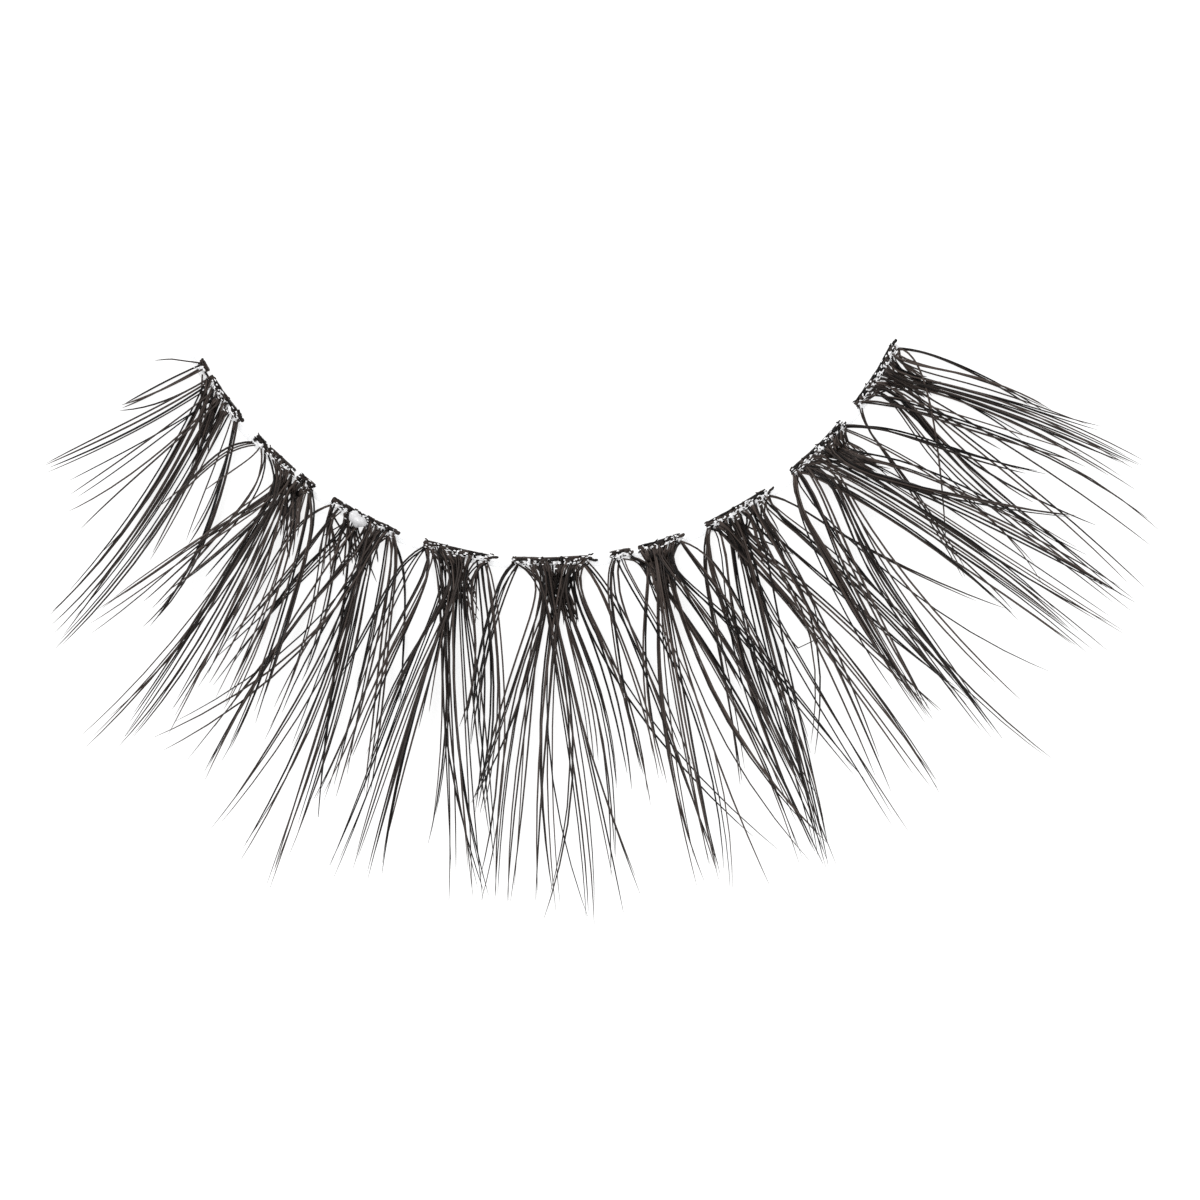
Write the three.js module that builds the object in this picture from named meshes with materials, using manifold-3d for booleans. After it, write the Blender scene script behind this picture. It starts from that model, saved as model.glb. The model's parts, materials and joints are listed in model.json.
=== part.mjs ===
// A false eyelash strip as it lies on a table: nine fans of dark lashes knotted round a clear band.
// Millimetres. +X runs to the outer corner of the eye, the lashes point to -Y and curl up to +Z.
import * as THREE from "three";
import { mergeVertices } from "three/addons/utils/BufferGeometryUtils.js";
import Module from "manifold-3d";

const wasm = await Module();
wasm.setup();

// The row of knots is a circular arc, and the lashes' reach is measured outward from it.
const rowRadius = 15.7;
const fanPitch = 3.9;
const headHalfWidth = 1.4;

// The clear band follows the same arc just outside the row, from one corner of the eye to the other.
const bandOffset = 0.25;
const bandWidth = 0.22;
const bandThickness = 0.12;
const bandToInnerCorner = 17.35;
const bandToOuterCorner = 17.4;

// Each head is a trough of knotted fibre that the band lies in, with loops of fibre over the band.
const bandClearance = 0.03;
const padThickness = 0.12;
const stubDepth = 0.22;
const rootDepth = 0.2;
const loopThickness = 0.1;
const loopWidth = 0.14;
const loopPitch = 0.6;

// The lashes lie flat near the band, so that they rest on the table, and then curl up.
const lashLength = 14;
const flatLength = 3.5;
const curlHeight = 4.6;
const hairWidth = 0.095;
const lockThickness = 0.12;
const tipWidth = 0.07;
const tipThickness = 0.06;

// Locks of one fan lie on three levels, and every other fan runs a whole layer higher.
const levels = 3;
const levelStep = 0.135;
const layerStep = 0.56;
const layerRamp = 0.9;

// The bead of glue sits on the band, in the open stretch of the third fan's head.
const glueLength = 0.8;
const glueWidth = 0.42;
const glueHeight = 0.17;
const glueFan = "lash_fan_3";
const gluePlace = -0.14;

// Where along its length each lock has a section, and how finely the round forms are divided.
const lockStations = [0, 0.09, 0.4, 0.72, 1];
const tangentShare = 0.02;
const bandSteps = 24;
const headSteps = 2;
const glueSides = 16;
const glueSteps = 4;
const weldDistance = 1e-4;

// place: the fan's middle in pitches from the arc's lowest point; layer: 0 low, 1 high.
// heads: stretches with cut ends and loops, in shares of the head's half width.
// locks: root in shares of the head's half width; tip, reach and bow in shares of the lash length;
// tip and bow are sideways to +X, reach is outward; hairs sets the lock's width.
const fans = [
  {
    name: "lash_fan_1",
    place: -3.91,
    layer: 0,
    heads: [
      [-0.95, -0.6],
      [-0.45, 1.05],
    ],
    locks: [
      { root: -0.8, tip: -0.112, reach: 0.25, bow: 0, hairs: 4 },
      { root: -0.35, tip: -0.093, reach: 0.51, bow: 0.012, hairs: 4 },
      { root: -0.05, tip: 0.004, reach: 0.5, bow: 0.005, hairs: 2 },
      { root: 0.3, tip: 0.082, reach: 0.53, bow: 0.005, hairs: 2 },
      { root: -0.4, tip: 0.252, reach: 0.73, bow: 0.04, hairs: 4 },
      { root: -0.1, tip: 0.295, reach: 0.74, bow: 0.04, hairs: 5 },
      { root: 0.2, tip: 0.33, reach: 0.75, bow: 0.02, hairs: 5 },
      { root: 0.45, tip: 0.338, reach: 0.77, bow: 0.04, hairs: 5 },
      { root: 0.6, tip: 0.28, reach: 0.42, bow: 0.005, hairs: 3 },
      { root: 0.8, tip: 0.285, reach: 0.31, bow: 0.01, hairs: 2 },
      { root: 1.05, tip: 0.46, reach: 0.54, bow: 0.05, hairs: 4 },
      { root: 1.1, tip: 0.305, reach: 0.31, bow: 0.02, hairs: 3 },
    ],
  },
  {
    name: "lash_fan_2",
    place: -2.88,
    layer: 1,
    heads: [
      [-1.15, -0.75],
      [-0.65, 0.35],
      [0.5, 1.05],
    ],
    locks: [
      { root: -1.1, tip: -0.185, reach: 0.33, bow: -0.01, hairs: 3 },
      { root: -0.75, tip: 0, reach: 0.54, bow: 0.012, hairs: 3 },
      { root: -0.5, tip: 0.07, reach: 0.42, bow: 0.005, hairs: 2 },
      { root: 0, tip: -0.14, reach: 0.63, bow: 0.015, hairs: 2 },
      { root: 0.2, tip: 0.095, reach: 0.94, bow: 0.04, hairs: 5 },
      { root: 0.3, tip: 0.145, reach: 0.86, bow: 0.025, hairs: 3 },
      { root: 0.3, tip: 0.173, reach: 0.88, bow: 0.045, hairs: 4 },
      { root: 0.5, tip: 0.225, reach: 0.71, bow: 0, hairs: 4 },
      { root: 0.6, tip: 0.235, reach: 0.62, bow: 0.015, hairs: 3 },
      { root: 0.8, tip: 0.325, reach: 0.62, bow: 0.02, hairs: 4 },
      { root: 0.9, tip: 0.435, reach: 0.73, bow: 0.02, hairs: 3 },
      { root: 1.05, tip: 0.4, reach: 0.59, bow: 0.022, hairs: 3 },
    ],
  },
  {
    name: "lash_fan_3",
    place: -1.91,
    layer: 0,
    heads: [
      [-1, -0.45],
      [0.17, 1],
    ],
    locks: [
      { root: -1, tip: -0.175, reach: 0.36, bow: -0.01, hairs: 2 },
      { root: -0.75, tip: -0.205, reach: 0.53, bow: 0.02, hairs: 3 },
      { root: -0.7, tip: -0.155, reach: 0.46, bow: 0, hairs: 3 },
      { root: -0.5, tip: 0.055, reach: 0.67, bow: 0.022, hairs: 3 },
      { root: 0.75, tip: -0.21, reach: 0.8, bow: 0.07, hairs: 2 },
      { root: 0.4, tip: -0.065, reach: 0.84, bow: -0.025, hairs: 3 },
      { root: 0.3, tip: 0.005, reach: 0.58, bow: 0, hairs: 2 },
      { root: 0.5, tip: 0.035, reach: 0.95, bow: 0.033, hairs: 4 },
      { root: 0.3, tip: 0.147, reach: 0.99, bow: 0.035, hairs: 4 },
      { root: 0.3, tip: 0.22, reach: 1.02, bow: 0.022, hairs: 4 },
      { root: 0.7, tip: 0.26, reach: 0.92, bow: 0.012, hairs: 5 },
      { root: 0.8, tip: 0.27, reach: 0.74, bow: 0.018, hairs: 3 },
      { root: 0.95, tip: 0.375, reach: 0.68, bow: 0.005, hairs: 4 },
      { root: 0.9, tip: 0.285, reach: 0.72, bow: 0.018, hairs: 3 },
      { root: 1.1, tip: 0.32, reach: 0.41, bow: 0.015, hairs: 2 },
    ],
  },
  {
    name: "lash_fan_4",
    place: -0.89,
    layer: 1,
    heads: [[-0.95, 0.95]],
    locks: [
      { root: -0.95, tip: -0.235, reach: 0.41, bow: -0.01, hairs: 2 },
      { root: -0.8, tip: -0.195, reach: 0.75, bow: -0.015, hairs: 3 },
      { root: -0.5, tip: -0.165, reach: 0.65, bow: 0, hairs: 3 },
      { root: -0.2, tip: -0.135, reach: 0.95, bow: 0.015, hairs: 4 },
      { root: 0, tip: -0.09, reach: 0.91, bow: 0.005, hairs: 3 },
      { root: 0.2, tip: -0.04, reach: 0.93, bow: -0.01, hairs: 3 },
      { root: 0.3, tip: -0.02, reach: 0.91, bow: -0.015, hairs: 3 },
      { root: -0.75, tip: 0.11, reach: 0.8, bow: 0.03, hairs: 3 },
      { root: -0.6, tip: 0.21, reach: 0.95, bow: 0.01, hairs: 3 },
      { root: -0.2, tip: 0.25, reach: 0.92, bow: 0, hairs: 4 },
      { root: 0.2, tip: 0.28, reach: 0.9, bow: -0.055, hairs: 4 },
      { root: 0.5, tip: 0.29, reach: 0.81, bow: -0.01, hairs: 3 },
      { root: 0.8, tip: 0.225, reach: 0.69, bow: 0.03, hairs: 4 },
      { root: 0.9, tip: 0.285, reach: 0.92, bow: 0.05, hairs: 2 },
    ],
  },
  {
    name: "lash_fan_5",
    place: 0.105,
    layer: 0,
    heads: [[-1.15, 1.05]],
    locks: [
      { root: -1.15, tip: -0.27, reach: 0.5, bow: -0.015, hairs: 2 },
      { root: -1, tip: -0.24, reach: 0.48, bow: -0.03, hairs: 3 },
      { root: -0.65, tip: -0.225, reach: 0.66, bow: 0.01, hairs: 3 },
      { root: -0.6, tip: -0.185, reach: 0.93, bow: -0.03, hairs: 3 },
      { root: 0.45, tip: -0.01, reach: 0.96, bow: -0.045, hairs: 4 },
      { root: -0.6, tip: 0.095, reach: 1, bow: 0.02, hairs: 4 },
      { root: 0.45, tip: 0.11, reach: 0.57, bow: 0, hairs: 3 },
      { root: 0.5, tip: 0.155, reach: 0.87, bow: 0.02, hairs: 3 },
      { root: 0.6, tip: 0.165, reach: 0.63, bow: 0.02, hairs: 3 },
      { root: 0.8, tip: 0.26, reach: 0.68, bow: 0.02, hairs: 3 },
      { root: 1, tip: 0.36, reach: 0.57, bow: 0.02, hairs: 2 },
      { root: 0.7, tip: 0.58, reach: 0.81, bow: -0.095, hairs: 2 },
    ],
  },
  {
    name: "lash_fan_6",
    place: 1.12,
    layer: 1,
    heads: [
      [-1.15, -0.6],
      [-0.35, 0.9],
    ],
    locks: [
      { root: -1.15, tip: -0.205, reach: 0.6, bow: -0.02, hairs: 3 },
      { root: -0.85, tip: -0.04, reach: 0.97, bow: 0.065, hairs: 3 },
      { root: -0.3, tip: -0.16, reach: 0.62, bow: -0.02, hairs: 3 },
      { root: -0.1, tip: -0.12, reach: 0.93, bow: -0.04, hairs: 4 },
      { root: 0, tip: -0.09, reach: 0.93, bow: -0.005, hairs: 4 },
      { root: 0.2, tip: -0.065, reach: 0.92, bow: -0.02, hairs: 3 },
      { root: 0.3, tip: 0.23, reach: 0.92, bow: -0.085, hairs: 3 },
      { root: -0.3, tip: 0.17, reach: 0.95, bow: 0.03, hairs: 3 },
      { root: 0, tip: 0.235, reach: 0.98, bow: 0.045, hairs: 4 },
      { root: 0.1, tip: 0.215, reach: 0.97, bow: 0.02, hairs: 3 },
      { root: 0.7, tip: 0.375, reach: 0.78, bow: 0, hairs: 3 },
      { root: 0.85, tip: 0.24, reach: 0.9, bow: 0.06, hairs: 3 },
      { root: 0.95, tip: 0.24, reach: 0.55, bow: 0.03, hairs: 2 },
    ],
  },
  {
    name: "lash_fan_7",
    place: 2.12,
    layer: 0,
    heads: [[-1.1, 0.9]],
    locks: [
      { root: -1.2, tip: -0.36, reach: 0.66, bow: -0.01, hairs: 3 },
      { root: -1.1, tip: -0.25, reach: 0.72, bow: -0.025, hairs: 4 },
      { root: -0.8, tip: -0.29, reach: 0.92, bow: -0.05, hairs: 4 },
      { root: -0.7, tip: -0.25, reach: 0.8, bow: -0.04, hairs: 3 },
      { root: -0.5, tip: -0.3, reach: 0.97, bow: 0.01, hairs: 4 },
      { root: -0.3, tip: -0.27, reach: 0.97, bow: 0, hairs: 4 },
      { root: -0.6, tip: -0.065, reach: 1, bow: -0.01, hairs: 3 },
      { root: 0.1, tip: -0.045, reach: 0.88, bow: 0.02, hairs: 4 },
      { root: -0.3, tip: 0.095, reach: 0.95, bow: 0.02, hairs: 4 },
      { root: 0, tip: 0.18, reach: 0.76, bow: 0, hairs: 3 },
      { root: 0.4, tip: 0.27, reach: 0.77, bow: -0.015, hairs: 3 },
      { root: 0.6, tip: 0.28, reach: 0.78, bow: 0, hairs: 3 },
      { root: 0.8, tip: 0.3, reach: 0.76, bow: 0.015, hairs: 3 },
      { root: 0.95, tip: 0.47, reach: 0.605, bow: -0.01, hairs: 2 },
    ],
  },
  {
    name: "lash_fan_8",
    place: 3.13,
    layer: 1,
    heads: [[-1.05, 1]],
    locks: [
      { root: -1.2, tip: -0.32, reach: 0.63, bow: -0.015, hairs: 4 },
      { root: -1.1, tip: -0.31, reach: 0.75, bow: -0.03, hairs: 4 },
      { root: -0.8, tip: -0.29, reach: 0.73, bow: -0.02, hairs: 5 },
      { root: -0.3, tip: -0.2, reach: 0.92, bow: -0.015, hairs: 5 },
      { root: -0.3, tip: -0.175, reach: 1.05, bow: -0.045, hairs: 2 },
      { root: -0.8, tip: 0.055, reach: 0.72, bow: 0.035, hairs: 3 },
      { root: -0.6, tip: 0.125, reach: 0.92, bow: 0.03, hairs: 3 },
      { root: 0, tip: 0.15, reach: 0.86, bow: 0.03, hairs: 5 },
      { root: 0.3, tip: 0.24, reach: 0.95, bow: -0.005, hairs: 4 },
      { root: 0.4, tip: 0.325, reach: 0.91, bow: 0.015, hairs: 4 },
      { root: 0.5, tip: 0.36, reach: 0.63, bow: -0.03, hairs: 3 },
      { root: 0.6, tip: 0.28, reach: 0.6, bow: 0.01, hairs: 3 },
      { root: 1, tip: 0.37, reach: 0.49, bow: 0.01, hairs: 3 },
    ],
  },
  {
    name: "lash_fan_9",
    place: 4.09,
    layer: 0,
    heads: [[-1.05, 1]],
    locks: [
      { root: -1.15, tip: -0.32, reach: 0.5, bow: -0.01, hairs: 3 },
      { root: -0.65, tip: -0.15, reach: 0.75, bow: -0.03, hairs: 3 },
      { root: -0.5, tip: -0.17, reach: 0.93, bow: -0.02, hairs: 3 },
      { root: -0.3, tip: -0.165, reach: 0.92, bow: -0.01, hairs: 3 },
      { root: -0.7, tip: 0.057, reach: 0.88, bow: 0.065, hairs: 2 },
      { root: -0.6, tip: 0.09, reach: 0.62, bow: 0.01, hairs: 3 },
      { root: 0.3, tip: -0.12, reach: 0.93, bow: 0.02, hairs: 2 },
      { root: 0.1, tip: 0.1, reach: 0.77, bow: 0.035, hairs: 3 },
      { root: 0.2, tip: 0.15, reach: 0.74, bow: 0.02, hairs: 4 },
      { root: 0.4, tip: 0.18, reach: 0.75, bow: 0.02, hairs: 5 },
      { root: 0.5, tip: 0.17, reach: 0.6, bow: 0.02, hairs: 3 },
      { root: 0.75, tip: 0.17, reach: 0.46, bow: 0.025, hairs: 3 },
    ],
  },
];

// Sizes that the head's section takes from the band that it goes round.
const bandBottom = padThickness + bandClearance;
const bandTop = bandBottom + bandThickness;
const loopHole = {
  inner: bandOffset - bandWidth / 2 - bandClearance,
  outer: bandOffset + bandWidth / 2 + bandClearance,
  top: bandTop + bandClearance,
};
const headInner = loopHole.inner - stubDepth;
const headOuter = loopHole.outer + rootDepth;
const headTop = loopHole.top + loopThickness;
const ridgeTop = loopHole.top + loopThickness / 2;
const rootReach = loopHole.outer + rootDepth / 2;

const up = new THREE.Vector3(0, 0, 1);

// A closed geometry as a solid that can be joined to others.
function solidOf(geometry) {
  const bare = geometry.clone();
  bare.deleteAttribute("normal");
  bare.deleteAttribute("uv");
  const merged = mergeVertices(bare, weldDistance);
  return new wasm.Manifold(
    new wasm.Mesh({
      numProp: 3,
      vertProperties: new Float32Array(merged.getAttribute("position").array),
      triVerts: new Uint32Array(merged.index.array),
    }),
  );
}

// The surface of a solid as a geometry with flat faces.
function geometryOf(solid) {
  const surface = solid.getMesh();
  const geometry = new THREE.BufferGeometry();
  geometry.setAttribute("position", new THREE.BufferAttribute(surface.vertProperties, 3));
  geometry.setIndex(new THREE.BufferAttribute(surface.triVerts, 1));
  const flat = geometry.toNonIndexed();
  flat.computeVertexNormals();
  return flat;
}

// The angle of a place along the row, in radians from the arc's lowest point.
function angleAt(distance) {
  return distance / rowRadius;
}

// Unit vectors outward from the arc's centre and along the row to the outer corner.
function outwardAt(angle) {
  return new THREE.Vector3(Math.sin(angle), -Math.cos(angle), 0);
}

function alongAt(angle) {
  return new THREE.Vector3(Math.cos(angle), Math.sin(angle), 0);
}

// A flat slab bent to the arc, between two places along the row and two distances outward from it.
function arcSlab(from, to, inner, outer, bottom, top, steps) {
  const start = angleAt(from) - Math.PI / 2;
  const end = angleAt(to) - Math.PI / 2;
  const plan = new THREE.Shape();
  plan.absarc(0, 0, rowRadius + outer, start, end, false);
  plan.absarc(0, 0, rowRadius + inner, end, start, true);
  plan.closePath();
  const slab = new THREE.ExtrudeGeometry(plan, {
    depth: top - bottom,
    bevelEnabled: false,
    curveSegments: steps,
  });
  return slab.translate(0, 0, bottom);
}

// One loop of fibre over the band, from the cut ends to the roots of the lashes.
function loopGeometry(place) {
  const angle = angleAt(place);
  const loop = new THREE.BoxGeometry(loopWidth, headOuter - headInner - stubDepth, loopThickness);
  loop.rotateZ(angle);
  const seat = outwardAt(angle).multiplyScalar(rowRadius + (headInner + headOuter) / 2);
  return loop.translate(seat.x, seat.y, headTop - loopThickness / 2);
}

// The height of the lash sheet's underside at a distance outward from the row.
function curlAt(reach) {
  const rise = Math.max(0, reach - flatLength) / (lashLength - flatLength);
  return curlHeight * rise * rise;
}

// A point on a lock's middle line, from 0 at its root to 1 at its tip.
function lockPoint(fan, lock, share) {
  const angle = angleAt(fan.place * fanPitch);
  const rootSide = lock.root * headHalfWidth;
  const bow = lock.bow * lashLength * 4 * share * (1 - share);
  const side = THREE.MathUtils.lerp(rootSide, lock.tip * lashLength, share) + bow;
  const reach = THREE.MathUtils.lerp(rootReach, lock.reach * lashLength, share);
  const point = outwardAt(angle).multiplyScalar(rowRadius + reach);
  point.addScaledVector(alongAt(angle), side);
  const distance = point.length() - rowRadius;
  const ramp = THREE.MathUtils.clamp((distance - rootReach) / layerRamp, 0, 1);
  const layer = fan.layer * layerStep * ramp;
  const level = (fan.locks.indexOf(lock) % levels) * levelStep;
  point.z = curlAt(distance) + layer + level + lockThickness / 2;
  return point;
}

// A lock: a flat bar along its middle line, which narrows to its tip.
function lockGeometry(fan, lock) {
  const last = lockStations.length - 1;
  const bar = new THREE.BoxGeometry(1, 1, 1, 1, last, 1);
  const corners = bar.getAttribute("position");
  for (let i = 0; i < corners.count; i++) {
    const station = Math.round((corners.getY(i) + 0.5) * last);
    const share = lockStations[station];
    const before = lockPoint(fan, lock, Math.max(0, share - tangentShare));
    const after = lockPoint(fan, lock, Math.min(1, share + tangentShare));
    const tangent = after.sub(before).normalize();
    const side = new THREE.Vector3().crossVectors(tangent, up).normalize();
    const normal = new THREE.Vector3().crossVectors(side, tangent);
    const taper = 1 - share * share;
    const width = tipWidth + (lock.hairs * hairWidth - tipWidth) * taper;
    const thickness = tipThickness + (lockThickness - tipThickness) * taper;
    const corner = lockPoint(fan, lock, share);
    corner.addScaledVector(side, corners.getX(i) * width);
    corner.addScaledVector(normal, corners.getZ(i) * thickness);
    corners.setXYZ(i, corner.x, corner.y, corner.z);
  }
  return bar;
}

// One fan: the trough that the band lies in, the loops over it and the locks, fused.
function fanGeometry(fan) {
  const middle = fan.place * fanPitch;
  const ends = [...fan.heads.flat(), ...fan.locks.map((lock) => lock.root)];
  const first = middle + Math.min(...ends) * headHalfWidth;
  const last = middle + Math.max(...ends) * headHalfWidth;
  const pad = arcSlab(first, last, headInner, headOuter, 0, padThickness, headSteps);
  const roots = arcSlab(first, last, loopHole.outer, headOuter, 0, ridgeTop, headSteps);
  let solid = solidOf(pad).add(solidOf(roots));
  for (const [from, to] of fan.heads) {
    const start = middle + from * headHalfWidth;
    const end = middle + to * headHalfWidth;
    const stubs = arcSlab(start, end, headInner, loopHole.inner, 0, ridgeTop, headSteps);
    solid = solid.add(solidOf(stubs));
    const loops = Math.max(1, Math.round((end - start) / loopPitch));
    for (let i = 0; i < loops; i++) {
      const place = start + ((end - start) * (i + 0.5)) / loops;
      solid = solid.add(solidOf(loopGeometry(place)));
    }
  }
  for (const lock of fan.locks) {
    solid = solid.add(solidOf(lockGeometry(fan, lock)));
  }
  return geometryOf(solid);
}

// The band: a ribbon that runs through all the loops.
function bandGeometry() {
  const inner = bandOffset - bandWidth / 2;
  const outer = bandOffset + bandWidth / 2;
  return arcSlab(-bandToInnerCorner, bandToOuterCorner, inner, outer, bandBottom, bandTop, bandSteps);
}

// The bead of glue: a flattened dome, longer along the band.
function glueGeometry() {
  const profile = [new THREE.Vector2(0, 0)];
  for (let i = 0; i <= glueSteps; i++) {
    const rise = (i / glueSteps) * (Math.PI / 2);
    profile.push(new THREE.Vector2(Math.cos(rise) / 2, Math.sin(rise)));
  }
  profile[profile.length - 1].x = 0;
  const dome = new THREE.LatheGeometry(profile, glueSides);
  dome.rotateX(Math.PI / 2);
  dome.scale(glueLength, glueWidth, glueHeight);
  const fan = fans.find((each) => each.name === glueFan);
  const angle = angleAt(fan.place * fanPitch + gluePlace * headHalfWidth);
  const seat = outwardAt(angle).multiplyScalar(rowRadius + bandOffset);
  dome.rotateZ(angle);
  return dome.translate(seat.x, seat.y, ridgeTop + bandClearance);
}

// A named sub-part with its own material.
function piece(name, geometry, finish) {
  const mesh = new THREE.Mesh(geometry, new THREE.MeshStandardMaterial(finish));
  mesh.name = name;
  return mesh;
}

const lashFinish = { color: 0x211e1f, roughness: 0.42, metalness: 0 };
const clearFinish = { color: 0xf3f5f6, roughness: 0.12, metalness: 0, transparent: true, opacity: 0.35 };

const strip = new THREE.Group();
strip.add(piece("clear_band", bandGeometry(), clearFinish));
strip.add(piece("glue_drop", glueGeometry(), clearFinish));
for (const fan of fans) {
  strip.add(piece(fan.name, fanGeometry(fan), lashFinish));
}

// The origin is under the middle of the whole strip, on the table.
const box = new THREE.Box3().setFromObject(strip);
const centre = box.getCenter(new THREE.Vector3());
strip.position.set(-centre.x, -centre.y, -box.min.z);

export default strip;
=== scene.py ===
"""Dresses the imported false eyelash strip: fibre lashes, knotted heads, clear band, glue, floor and light."""

import json
import logging
import math
import random
from dataclasses import dataclass, field
from enum import Enum
from typing import Callable, NamedTuple

import bpy
import numpy as np
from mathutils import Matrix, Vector

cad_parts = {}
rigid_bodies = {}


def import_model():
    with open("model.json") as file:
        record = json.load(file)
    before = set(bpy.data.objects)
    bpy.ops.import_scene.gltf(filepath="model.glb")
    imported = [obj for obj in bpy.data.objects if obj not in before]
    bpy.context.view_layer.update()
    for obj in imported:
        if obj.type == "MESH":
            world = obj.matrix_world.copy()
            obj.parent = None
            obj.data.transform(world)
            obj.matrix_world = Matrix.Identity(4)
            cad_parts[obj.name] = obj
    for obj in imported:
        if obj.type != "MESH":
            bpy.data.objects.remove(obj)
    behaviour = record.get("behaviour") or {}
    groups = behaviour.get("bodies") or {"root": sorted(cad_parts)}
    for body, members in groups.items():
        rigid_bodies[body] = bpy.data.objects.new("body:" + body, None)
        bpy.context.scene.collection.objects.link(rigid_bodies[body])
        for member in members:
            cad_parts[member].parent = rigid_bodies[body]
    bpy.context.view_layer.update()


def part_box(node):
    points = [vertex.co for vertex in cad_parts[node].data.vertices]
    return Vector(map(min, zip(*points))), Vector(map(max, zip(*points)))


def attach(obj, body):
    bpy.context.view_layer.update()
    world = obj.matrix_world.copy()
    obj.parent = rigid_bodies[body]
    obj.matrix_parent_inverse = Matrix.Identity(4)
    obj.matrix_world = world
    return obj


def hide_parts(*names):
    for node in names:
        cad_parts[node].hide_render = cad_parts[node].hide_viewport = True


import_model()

log = logging.getLogger("eyelash_strip")

MM = 0.001
UP = np.array([0.0, 0.0, 1.0])
ROOT_BODY = "root"
STRAND_SHADE = "strand_shade"
WHITE = (1.0, 1.0, 1.0, 1.0)
NEARLY_NOTHING = 1e-9

Span = tuple[float, float]
Colour = tuple[float, float, float]
Route = list[tuple[float, float]]


class Layer(Enum):
    """Which of the two sheets of lashes a fan belongs to, so that neighbours cross without touching."""

    LOW = 0
    HIGH = 1


class FibreForm(Enum):
    """How a fibre ends: a lash tapers to a fine tip, a knotted end is cut blunt."""

    LASH = "lash"
    CUT = "cut"


class MeshPart(Enum):
    """What is selected in edit mode, as Blender's select modes call it."""

    VERTEX = "VERT"
    EDGE = "EDGE"


class Lock(NamedTuple):
    """A row of the lash chart: root in half head widths, the other lengths in lash lengths."""

    root: float
    tip: float
    reach: float
    bow: float
    hairs: int


@dataclass(frozen=True)
class FanPlan:
    """What one fan holds: its place in fan pitches, layer, strands for a hair, waists, knots and locks.

    A waist is where inner strands draw together, sideways from the fan's middle in lash lengths. Each
    waist has a number of short under hairs, and their lean is how far they run to the outer corner for
    each length outward.
    """

    node: str
    place: float
    layer: Layer
    fullness: float
    waists: tuple[float, ...]
    lean: float
    under_hairs: int
    heads: list[Span]
    locks: list[Lock]


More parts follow.
